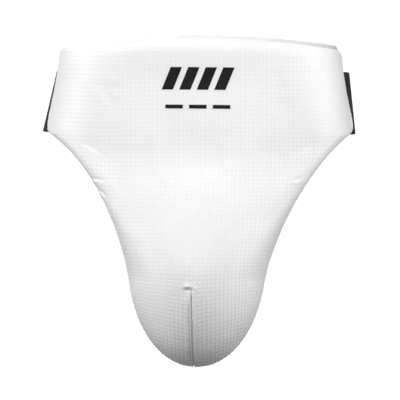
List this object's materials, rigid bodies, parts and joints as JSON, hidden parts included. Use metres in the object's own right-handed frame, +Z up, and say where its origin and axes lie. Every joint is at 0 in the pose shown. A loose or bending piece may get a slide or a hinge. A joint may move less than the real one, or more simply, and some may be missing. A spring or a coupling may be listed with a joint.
{
  "type": "groin protector",
  "caption": "Padded groin guard with a hard cup, wide hip wings, an elastic waistband that closes at the back and elastic leg straps.",
  "frame": {"origin": "middle of the waist opening, at the mid height of the waistband, where the wearer's waist holds it", "axes": "+Z up, the wearer faces -Y, +X is the right of the front view; mirror plane X = 0 for the padded panel"},
  "size_m": [0.252, 0.2122, 0.2653],
  "materials": {
    "cover_leather": "embossed satin synthetic leather",
    "foam": "closed cell foam",
    "cup_plastic": "moulded, semi matt",
    "rim_rubber": "soft",
    "lining_fabric": "knitted mesh",
    "binding_tape": "woven tape",
    "white_thread": "sewing thread",
    "grey_thread": "sewing thread",
    "black_thread": "sewing thread",
    "print_ink": "screen print",
    "label_tape": "satin ribbon",
    "black_webbing": "woven elastic",
    "hook_tape": "moulded hooks on tape",
    "loop_tape": "napped loops on tape"
  },
  "bodies": {
    "guard": {"front_cover": "cover_leather", "waist_foam_front": "foam", "waist_foam_rear": "foam", "cup_foam_front": "foam", "cup_foam_rear": "foam", "hard_cup": "cup_plastic", "cup_rim_cushion": "rim_rubber", "rear_lining": "lining_fabric", "top_binding": "binding_tape", "hem_stitching": "white_thread", "dart_stitching": "white_thread", "dart_bartack": "cover_leather", "printed_mark": "print_ink", "care_label": "label_tape", "band_anchor_left": "black_webbing", "band_anchor_right": "black_webbing", "anchor_stitching_left": "grey_thread", "anchor_stitching_right": "grey_thread", "strap_patch": "black_webbing", "strap_patch_stitching": "grey_thread", "leg_strap_lower_left": "black_webbing", "leg_strap_lower_right": "black_webbing"},
    "band_left": {"waistband_left": "black_webbing", "hook_patch": "hook_tape", "hook_stitching": "black_thread", "leg_strap_upper_left": "black_webbing", "strap_bartack_left": "black_thread"},
    "band_right": {"waistband_right": "black_webbing", "loop_patch": "loop_tape", "loop_stitching": "black_thread", "leg_strap_upper_right": "black_webbing", "strap_bartack_right": "black_thread"}
  },
  "joints": [
    {"name": "left_band_swing", "type": "hinge", "parent": "guard", "child": "band_left", "pos_m": [-0.11819, -0.02098, 0], "axis": [0.1724, 0, 0.985], "range_deg": [0, 65]},
    {"name": "right_band_swing", "type": "hinge", "parent": "guard", "child": "band_right", "pos_m": [0.11819, -0.02098, 0], "axis": [0.1724, 0, -0.985], "range_deg": [0, 30]}
  ],
  "couplings": [
    {"joint": "right_band_swing", "follows": "left_band_swing", "ratio": 0.45}
  ]
}
